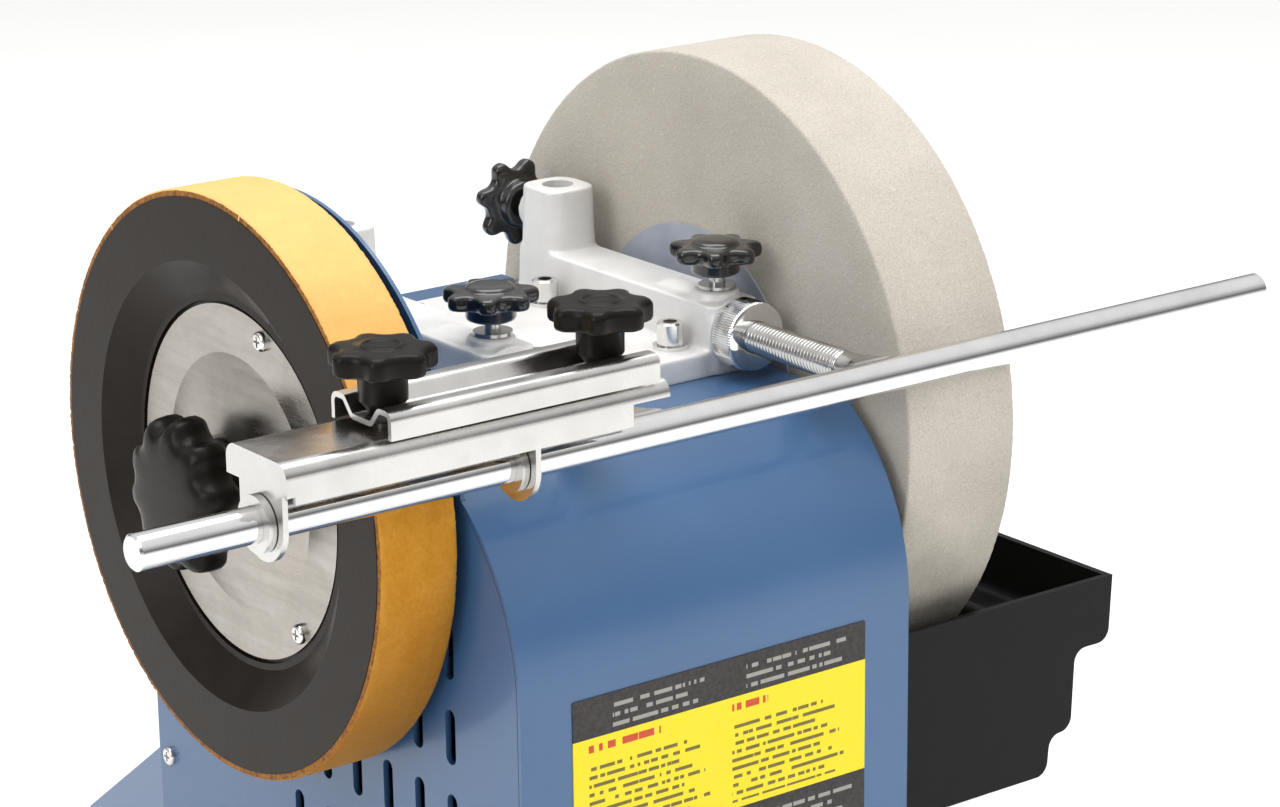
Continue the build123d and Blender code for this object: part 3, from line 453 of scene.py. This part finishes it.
# ---------------------------------------------------------------- leather band
def build_leather():
    low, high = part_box("leather_band")
    at = Vector((0.0, (low.y + high.y) / 2, (low.z + high.z) / 2))
    outer = (high.z - low.z) / 2
    inner = outer - 2.6 * MM
    start, end = low.x, high.x
    edge = 0.7 * MM
    across = [(start, inner), (start, outer - edge), (start + edge, outer - 0.15 * MM)]
    across += [(start + (end - start) * i / 14, outer - 0.1 * MM) for i in range(1, 14)]
    across += [(end - edge, outer - 0.15 * MM), (end, outer - edge), (end, inner)]
    seam = radians(236)

    def wobble(angle, along, radius):
        p = Vector((along * 900, cos(angle) * 95, sin(angle) * 95))
        rim = min(along - start, end - along) / (end - start)
        fray = max(0.0, 1 - rim * 14)
        shift = noise.noise(p * 2.3) * 0.45 * MM * fray
        lift = noise.noise(p * 0.9 + Vector((7, 3, 1))) * 0.12 * MM
        lift += noise.noise(p * 4.0) * 0.22 * MM * fray
        turn = (angle - seam - (along - start) * 6.0 + pi) % (2 * pi) - pi
        if 0 < turn < 0.02:
            lift -= 0.5 * MM * (1 - turn / 0.02)
        if radius < inner + 0.1 * MM:
            return along, radius
        return min(max(along + shift, start), end), min(radius + lift, outer)

    bm = bmesh.new()
    lathe(bm, at, "x", across, 900, wobble)
    for face in bm.faces:
        x = face.calc_center_median().x
        if x < start + 0.12 * MM or x > end - 0.12 * MM:
            face.material_index = 1
    return piece("leather_honing_band", bm, ("suede", "hide_edge"), "leather_band", sharp=55)


# ---------------------------------------------------------------- stone
def build_stone():
    low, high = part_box("grinding_stone")
    at = Vector((0.0, (low.y + high.y) / 2, (low.z + high.z) / 2))
    outer = (high.z - low.z) / 2
    bore = 7.0 * MM
    start, end = low.x, high.x
    soft = 1.1 * MM
    radii = [bore + (outer - soft - bore) * t for t in (0.0, 0.25, 0.5, 0.75, 0.93, 1.0)]
    left = [(start, r) for r in radii]
    for turn in (radians(30), radians(60), radians(90)):
        left.append((start + soft * (1 - cos(turn)), outer - soft * (1 - sin(turn))))
    band = [(start + soft + (end - start - 2 * soft) * i / 12, outer) for i in range(1, 12)]
    right = [(start + end - a, r) for a, r in reversed(left)]

    def wobble(angle, along, radius):
        if radius < outer - 3 * MM:
            return along, radius
        p = Vector((along * 300, cos(angle) * 60, sin(angle) * 60))
        near_edge = max(0.0, 1 - min(along - start, end - along) / (3 * MM))
        chip = (noise.noise(p * 1.7) * 0.25 - 0.1 + noise.noise(p * 5.1) * 0.2) * MM * near_edge
        return along, min(radius + min(chip, 0.0) - 0.05 * MM * abs(noise.noise(p * 0.4)), outer)

    bm = bmesh.new()
    lathe(bm, at, "x", left + band + right, 512, wobble)
    return piece("grinding_wheel", bm, ("stone",), "grinding_stone", sharp=60)


# ---------------------------------------------------------------- knobs
def lobed_radius(radius, count, scallop, reach, samples, smooth):
    """Rounded star outline as a list of radii: circle minus scallops, softened by averaging."""
    values = []
    for i in range(samples):
        angle = (2 * pi * i / samples) % (2 * pi / count)
        if angle > pi / count:
            angle -= 2 * pi / count
        r = radius
        disc = scallop ** 2 - (reach * sin(angle)) ** 2
        if disc > 0:
            r = min(r, reach * cos(angle) - sqrt(disc))
        values.append(r)
    for _ in range(smooth):
        values = [(values[i - 1] + 2 * values[i] + values[(i + 1) % samples]) / 4 for i in range(samples)]
    biggest = max(values)
    return [v * radius / biggest for v in values]


def star(bm, at, axis, sign, outline, layers, phase=0.0):
    """Stack of outlines along an axis: each layer is (along, share of the outline, share of roundness)."""
    samples = len(outline)
    rings = []
    for along, share, round_radius, roundness in layers:
        ring = []
        for i, full in enumerate(outline):
            r = full * share * (1 - roundness) + round_radius * roundness
            ring.append(around(at, axis, 2 * pi * i / samples + phase, r, along * sign))
        rings.append(ring)
    grid(bm, rings, cap_start=True, cap_end=True)


def build_star_knob(name, node, axis):
    """Glossy star knob: collar, seven rounded lobes with soft edges, dished top with a low round button."""
    low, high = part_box(node)
    at = (low + high) / 2
    sign = 1
    if axis == "z":
        at.z = low.z
        length = high.z - low.z
    else:
        at.y = low.y
        length = high.y - low.y
    outline = lobed_radius(17.2 * MM, 7, 5.0 * MM, 17.9 * MM, 224, 10)
    foot = 5.2 * MM
    rim = length - 2.0 * MM
    k = MM
    layers = [
        (0.0, 0, 7.6 * k, 1), (0.5 * k, 0, 8.6 * k, 1), (1.4 * k, 0, 9.0 * k, 1),
        (foot - 1.2 * k, 0, 9.0 * k, 1),
        (foot - 0.2 * k, 0, 9.6 * k, 1), (foot + 0.1 * k, 0.80, 10.4 * k, 0.55),
        (foot + 0.2 * k, 0.90, 12 * k, 0.2),
        (foot + 0.7 * k, 0.965, 0, 0), (foot + 1.7 * k, 0.995, 0, 0), (foot + 3.0 * k, 1.0, 0, 0),
        (rim - 1.6 * k, 0.995, 0, 0), (rim - 0.7 * k, 0.97, 0, 0), (rim - 0.1 * k, 0.915, 0, 0),
        (rim + 0.15 * k, 0.84, 0, 0), (rim + 0.2 * k, 0.78, 10.5 * k, 0.25),
        (rim + 0.1 * k, 0.72, 9.6 * k, 0.7),
        (rim + 0.15 * k, 0, 9.0 * k, 1), (rim + 0.9 * k, 0, 8.6 * k, 1), (rim + 1.5 * k, 0, 7.8 * k, 1),
        (rim + 1.9 * k, 0, 6.2 * k, 1), (length, 0, 3.4 * k, 1), (length, 0, 1.0 * k, 1)]
    bm = bmesh.new()
    star(bm, at, axis, sign, outline, layers)
    return piece(name, bm, ("gloss_black",), node, sharp=65)


def build_jig_knob(name, node):
    """Charcoal knob: plain stem, broad head with seven shallow scallops, flat top with a raised ring."""
    low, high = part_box(node)
    at = (low + high) / 2
    at.z = low.z
    k = MM
    outline = lobed_radius(17.7 * k, 7, 8.2 * k, 22.7 * k, 224, 8)
    foot, rim = 14.0 * k, 22.0 * k
    layers = [
        (0.0, 0, 4.3 * k, 1), (4.3 * k, 0, 7.8 * k, 1), (4.8 * k, 0, 8.0 * k, 1),
        (foot - 1.2 * k, 0, 8.0 * k, 1),
        (foot - 0.3 * k, 0, 8.7 * k, 1), (foot, 0.74, 9.6 * k, 0.7), (foot + 0.1 * k, 0.9, 0, 0),
        (foot + 0.6 * k, 0.965, 0, 0), (foot + 1.5 * k, 0.995, 0, 0), (foot + 2.5 * k, 1.0, 0, 0),
        (rim - 2.6 * k, 1.0, 0, 0), (rim - 1.6 * k, 0.985, 0, 0), (rim - 0.7 * k, 0.94, 0, 0),
        (rim - 0.15 * k, 0.88, 0, 0), (rim, 0.8, 0, 0), (rim, 0.62, 10 * k, 0.6),
        (rim - 0.05 * k, 0, 7.2 * k, 1),
        (rim + 0.35 * k, 0, 6.9 * k, 1), (rim + 0.6 * k, 0, 6.4 * k, 1), (rim + 0.6 * k, 0, 6.1 * k, 1),
        (rim + 0.3 * k, 0, 5.7 * k, 1), (rim - 0.1 * k, 0, 5.3 * k, 1), (rim, 0, 1.5 * k, 1)]
    bm = bmesh.new()
    star(bm, at, "z", 1, outline, layers)
    return piece(name, bm, ("charcoal",), node, sharp=65)


def build_hand_nut():
    """Large fluted hand nut: deep flutes with rounded ribs, domed outer face."""
    low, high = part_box("honing_hand_nut")
    at = (low + high) / 2
    at.x = high.x
    k = MM
    length = high.x - low.x
    outer = (high.z - low.z) / 2
    outline = lobed_radius(outer, 10, 7.5 * k, outer + 4.0 * k, 400, 14)
    layers = [
        (0.0, 0, 13.0 * k, 1), (0.2 * k, 0, 16.6 * k, 1), (7.0 * k, 0, 17.0 * k, 1),
        (8.0 * k, 0.6, 19 * k, 0.8),
        (8.3 * k, 0.88, 0, 0), (9.2 * k, 0.96, 0, 0), (11.0 * k, 0.995, 0, 0), (14.0 * k, 1.0, 0, 0),
        (length - 6.5 * k, 0.985, 0, 0), (length - 4.2 * k, 0.955, 0, 0), (length - 2.4 * k, 0.9, 0, 0),
        (length - 1.2 * k, 0.82, 24 * k, 0.15), (length - 0.6 * k, 0.7, 20 * k, 0.5),
        (length - 0.3 * k, 0, 15 * k, 1), (length - 0.1 * k, 0, 11 * k, 1), (length, 0, 5 * k, 1)]
    bm = bmesh.new()
    star(bm, at, "x", -1, outline, layers, phase=0.12)
    return piece("honing_hand_wheel", bm, ("charcoal",), "honing_hand_nut", sharp=65)


# ---------------------------------------------------------------- threaded leg and nut
def build_threaded_leg():
    low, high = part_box("threaded_leg")
    at = Vector(((low.x + high.x) / 2, 0.0, (low.z + high.z) / 2))
    at.x = centre("adjusting_nut").x
    bar = centre("support_bar")
    pitch, crest, root, steps = 1.75 * MM, 6.0 * MM, 5.1 * MM, 40
    start = bar.y + 16.0 * MM
    end = high.y - 1.0 * MM
    turns = (end - start) / pitch
    samples = int(turns * 8)
    rings = []
    neck = [(bar.y + 3.2 * MM, 9.6 * MM), (bar.y + 5.4 * MM, 8.0 * MM), (bar.y + 7.6 * MM, 6.9 * MM),
            (bar.y + 10.0 * MM, 6.2 * MM), (bar.y + 13.0 * MM, 5.9 * MM), (bar.y + 15.5 * MM, 5.8 * MM)]
    for y, r in neck:
        rings.append(circle(at, "y", r, y, steps))
    for n in range(samples + 1):
        y = start + (end - start) * n / samples
        ring = []
        for i in range(steps):
            angle = 2 * pi * i / steps
            phase = ((y - start) / pitch - angle / (2 * pi)) % 1.0
            tooth = abs(phase * 2 - 1)
            tooth = min(max((tooth - 0.12) / 0.76, 0.0), 1.0)
            fade = min(1.0, (y - start) / (2 * pitch))
            ring.append(around(at, "y", angle, root + (crest - root) * (tooth * fade + (1 - fade) * 0.8), y))
        rings.append(ring)
    for y, r in ((high.y - 0.4 * MM, 5.0 * MM), (high.y, 4.4 * MM)):
        rings.append(circle(at, "y", r, y, steps))
    for ring in rings[:3]:
        for p in ring:
            p.z = max(min(p.z, bar.z + NECK_FLAT), bar.z - NECK_FLAT)
    bm = bmesh.new()
    grid(bm, rings, cap_start=True, cap_end=True)
    return piece("threaded_support_leg", bm, ("thread",), "threaded_leg", sharp=75)


def build_plain_leg():
    low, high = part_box("plain_leg")
    at = Vector(((low.x + high.x) / 2, 0.0, (low.z + high.z) / 2))
    bar = centre("support_bar")
    rings = []
    steps = 48
    profile = [(bar.y + 3.2 * MM, 9.6 * MM), (bar.y + 5.4 * MM, 8.0 * MM), (bar.y + 7.6 * MM, 6.8 * MM),
               (bar.y + 10.0 * MM, 6.15 * MM), (bar.y + 13.0 * MM, 6.0 * MM), (high.y - 1.0 * MM, 6.0 * MM),
               (high.y - 0.3 * MM, 5.6 * MM), (high.y, 5.0 * MM)]
    for y, r in profile:
        rings.append(circle(at, "y", r, y, steps))
    for ring in rings[:3]:
        for p in ring:
            p.z = max(min(p.z, bar.z + NECK_FLAT), bar.z - NECK_FLAT)
    bm = bmesh.new()
    grid(bm, rings, cap_start=True, cap_end=True)
    return piece("plain_support_leg", bm, ("chrome",), "plain_leg", sharp=40)


def build_nut():
    """Adjusting nut with a fine straight knurl and polished faces."""
    low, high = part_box("adjusting_nut")
    at = (low + high) / 2
    at.y = 0.0
    outer = (high.z - low.z) / 2
    teeth, steps = 84, 84 * 6
    bore = BAR_BORE
    k = MM
    y0, y1 = low.y, high.y
    profile = [(y0, bore), (y0, outer - 1.5 * k), (y0 + 0.4 * k, outer - 0.6 * k),
               (y0 + 1.0 * k, outer - 0.15 * k),
               (y0 + 1.5 * k, outer), (y1 - 1.5 * k, outer), (y1 - 1.0 * k, outer - 0.15 * k),
               (y1 - 0.4 * k, outer - 0.6 * k), (y1, outer - 1.5 * k), (y1, bore)]

    def wobble(angle, along, radius):
        if radius < outer - 0.5 * k:
            return along, radius
        groove = 0.5 - 0.5 * cos(angle * teeth)
        return along, radius - 0.42 * k * groove

    bm = bmesh.new()
    lathe(bm, at, "y", profile, steps, wobble)
    return piece("knurled_adjusting_nut", bm, ("chrome",), "adjusting_nut", sharp=35)


# ---------------------------------------------------------------- casting
def build_casting():
    """Soft-edged aluminium casting: solid blocks fused on a voxel grid, relaxed, then bored."""
    low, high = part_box("support_casting")
    k = MM
    legs = (centre("plain_leg").x, centre("adjusting_nut").x)
    bar = centre("support_bar")
    boss_x = (centre("arm_knob_left"), centre("arm_knob_right"))
    post_x = (centre("post_knob_left"), centre("post_knob_right"))
    post_y = low.y + (59.0 + 51.0) * k
    base_z, plate_z, arm_z, top_z = low.z, low.z + 9.5 * k, low.z + 26.0 * k, high.z
    half = 12.5 * k
    bm = bmesh.new()

    def prism(x, y, z, draft=0.0, corner=4.0 * k):
        """Upright block with rounded corners and walls that lean in by `draft` towards the top."""
        rings = []
        for level, lean in ((z[0], 0.0), (z[1], draft)):
            ring = []
            for cx, cy, start in ((x[1], y[1], 0), (x[0], y[1], 90), (x[0], y[0], 180), (x[1], y[0], 270)):
                sx = -1 if cx == x[1] else 1
                sy = -1 if cy == y[1] else 1
                for i in range(5):
                    a = radians(start + 90 * i / 4)
                    ring.append(Vector((cx + sx * (corner + lean) + corner * cos(a),
                                        cy + sy * (corner + lean) + corner * sin(a), level)))
            rings.append(ring)
        grid(bm, rings, cap_start=True, cap_end=True)

    def rod(at, axis, radius, start, end, steps=40):
        rings = [circle(at, axis, radius, along, steps) for along in (start, end)]
        grid(bm, rings, cap_start=True, cap_end=True)

    prism((low.x, high.x), (low.y + 1.0 * k, low.y + 128.0 * k), (base_z, plate_z))
    for x in legs:
        prism((x - half, x + half), (low.y, low.y + 123.0 * k), (base_z, arm_z), 0.8 * k)
        prism((x - half, x + half), (post_y - 13.0 * k, post_y + 13.0 * k), (base_z, top_z), 1.2 * k, 7.0 * k)
        rod(Vector((x, 0, bar.z)), "y", 12.2 * k, low.y, low.y + 40.0 * k)
    for at in boss_x:
        rod(Vector((at.x, at.y, 0)), "z", 8.7 * k, arm_z - 6.0 * k, arm_z + 3.5 * k)
    for at in post_x:
        rod(Vector((at.x, 0, at.z)), "y", 8.0 * k, post_y, low.y + 125.0 * k)
    bmesh.ops.recalc_face_normals(bm, faces=bm.faces)
    mesh = bpy.data.meshes.new("casting_work")
    bm.to_mesh(mesh)
    bm.free()
    work = bpy.data.objects.new("casting_work", mesh)
    bpy.context.scene.collection.objects.link(work)
    remesh = work.modifiers.new("fuse", "REMESH")
    remesh.mode = "VOXEL"
    remesh.voxel_size = 0.8 * k
    relax = work.modifiers.new("relax", "SMOOTH")
    relax.factor = 0.5
    relax.iterations = 9
    cutters = []

    def cutter(at, axis, radius, start, end):
        cut = bmesh.new()
        steps = 64
        rings = [circle(at, axis, radius, along, steps) for along in (start, end)]
        grid(cut, rings, cap_start=True, cap_end=True)
        bmesh.ops.recalc_face_normals(cut, faces=cut.faces)
        cut_mesh = bpy.data.meshes.new("cutter")
        cut.to_mesh(cut_mesh)
        cut.free()
        obj = bpy.data.objects.new("cutter", cut_mesh)
        bpy.context.scene.collection.objects.link(obj)
        cutters.append(obj)

    for x in legs:
        cutter(Vector((x, 0, bar.z)), "y", BAR_BORE, low.y - 5 * k, low.y + 68.0 * k)
        cutter(Vector((x, post_y, 0)), "z", BAR_BORE, top_z - 40.0 * k, top_z + 5 * k)
    for at in boss_x:
        cutter(Vector((at.x, at.y, 0)), "z", STUD_BORE, bar.z, arm_z + 8.0 * k)
    for at in post_x:
        cutter(Vector((at.x, 0, at.z)), "y", STUD_BORE, post_y, low.y + 130.0 * k)
    for obj in cutters:
        cut = work.modifiers.new("bore", "BOOLEAN")
        cut.operation = "DIFFERENCE"
        cut.solver = "EXACT"
        cut.object = obj
    bpy.context.view_layer.update()
    done = bpy.data.meshes.new_from_object(work.evaluated_get(bpy.context.evaluated_depsgraph_get()))
    for obj in cutters + [work]:
        bpy.data.objects.remove(obj)
    final = bmesh.new()
    final.from_mesh(done)
    for vert in final.verts:
        for i in range(3):
            vert.co[i] = min(max(vert.co[i], low[i]), high[i])
    for face in final.faces:
        face.material_index = 0
    return piece("support_casting_body", final, ("casting",), "support_casting", sharp=50)


build_leather()
build_stone()
for side in ("left", "right"):
    build_star_knob("arm_star_knob_" + side, "arm_knob_" + side, "z")
    build_star_knob("post_star_knob_" + side, "post_knob_" + side, "y")
    build_jig_knob("jig_clamp_knob_" + side, "jig_knob_" + side)
build_hand_nut()
build_threaded_leg()
build_plain_leg()
build_nut()
build_casting()


# ---------------------------------------------------------------- floor, light, camera
def build_floor():
    bm = bmesh.new()
    rings = []
    for radius in (0.01, 0.5, 2.0, 6.0, 20.0, 60.0):
        rings.append(circle(Vector((0.0, 0.0, 0.0)), "z", radius, 0.0, 64))
    grid(bm, rings, cap_start=True)
    bmesh.ops.recalc_face_normals(bm, faces=bm.faces)
    mesh = bpy.data.meshes.new("studio_floor")
    bm.to_mesh(mesh)
    bm.free()
    paint = two_tone("pale_floor", srgb(246, 246, 245), srgb(249, 249, 248), 2.0, (0.8, 0.9), 30.0, 0.02)
    mesh.materials.append(paint.mat)
    floor_obj = bpy.data.objects.new("studio_floor", mesh)
    bpy.context.scene.collection.objects.link(floor_obj)


def build_world():
    world = bpy.data.worlds.new("studio")
    bpy.context.scene.world = world
    world.use_nodes = True
    tree = world.node_tree
    tree.nodes.clear()
    out = tree.nodes.new("ShaderNodeOutputWorld")
    background = tree.nodes.new("ShaderNodeBackground")
    coords = tree.nodes.new("ShaderNodeTexCoord")
    split = tree.nodes.new("ShaderNodeSeparateXYZ")
    ramp = tree.nodes.new("ShaderNodeValToRGB")
    stops = ((0.0, 0.5), (0.12, 0.15), (0.3, 0.42), (0.55, 0.82), (1.0, 1.0))
    elements = ramp.color_ramp.elements
    while len(elements) < len(stops):
        elements.new(0.5)
    for element, (position, value) in zip(elements, stops):
        element.position = position
        element.color = (value, value, value, 1.0)
    tree.links.new(coords.outputs["Generated"], split.inputs[0])
    tree.links.new(split.outputs["Z"], ramp.inputs["Fac"])
    tree.links.new(ramp.outputs["Color"], background.inputs["Color"])
    tree.links.new(background.outputs[0], out.inputs[0])
    background.inputs["Strength"].default_value = 1.0


def area_light(name, position, target, size, energy, glossy=True):
    data = bpy.data.lights.new(name, "AREA")
    data.shape = "RECTANGLE"
    data.size, data.size_y = size
    data.energy = energy
    light = bpy.data.objects.new(name, data)
    bpy.context.scene.collection.objects.link(light)
    light.location = position
    light.visible_glossy = glossy
    light.rotation_mode = "QUATERNION"
    light.rotation_quaternion = (Vector(target) - Vector(position)).to_track_quat("-Z", "Y")


AZIMUTH, ELEVATION, ROLL = -36.853, 16.839, -0.675
CAMERA_AT = (-0.75161, -1.09066, 0.60839)
LENS = 104.285


def build_camera():
    data = bpy.data.cameras.new("camera")
    data.sensor_width = 36.0
    data.lens = LENS
    data.clip_start, data.clip_end = 0.05, 200.0
    camera = bpy.data.objects.new("camera", data)
    bpy.context.scene.collection.objects.link(camera)
    bpy.context.scene.camera = camera
    az, el, roll = radians(AZIMUTH), radians(ELEVATION), radians(ROLL)
    forward = Vector((-sin(az) * cos(el), cos(az) * cos(el), -sin(el)))
    right = Vector((cos(az), sin(az), 0.0))
    up = right.cross(forward)
    right, up = right * cos(roll) + up * sin(roll), up * cos(roll) - right * sin(roll)
    matrix = Matrix((right, up, -forward)).transposed().to_4x4()
    matrix.translation = Vector(CAMERA_AT)
    camera.matrix_world = matrix


build_floor()
build_world()
area_light("top_softbox", (0.1, 0.2, 1.9), (0.0, 0.0, 0.2), (1.6, 1.2), 22.0)
area_light("left_softbox", (-1.9, -0.2, 1.1), (0.0, 0.0, 0.2), (1.0, 1.4), 14.0)
area_light("front_softbox", (0.9, -1.9, 1.2), (0.0, 0.0, 0.2), (1.4, 1.2), 18.0, glossy=False)
build_camera()
bpy.context.scene.view_settings.view_transform = "Standard"
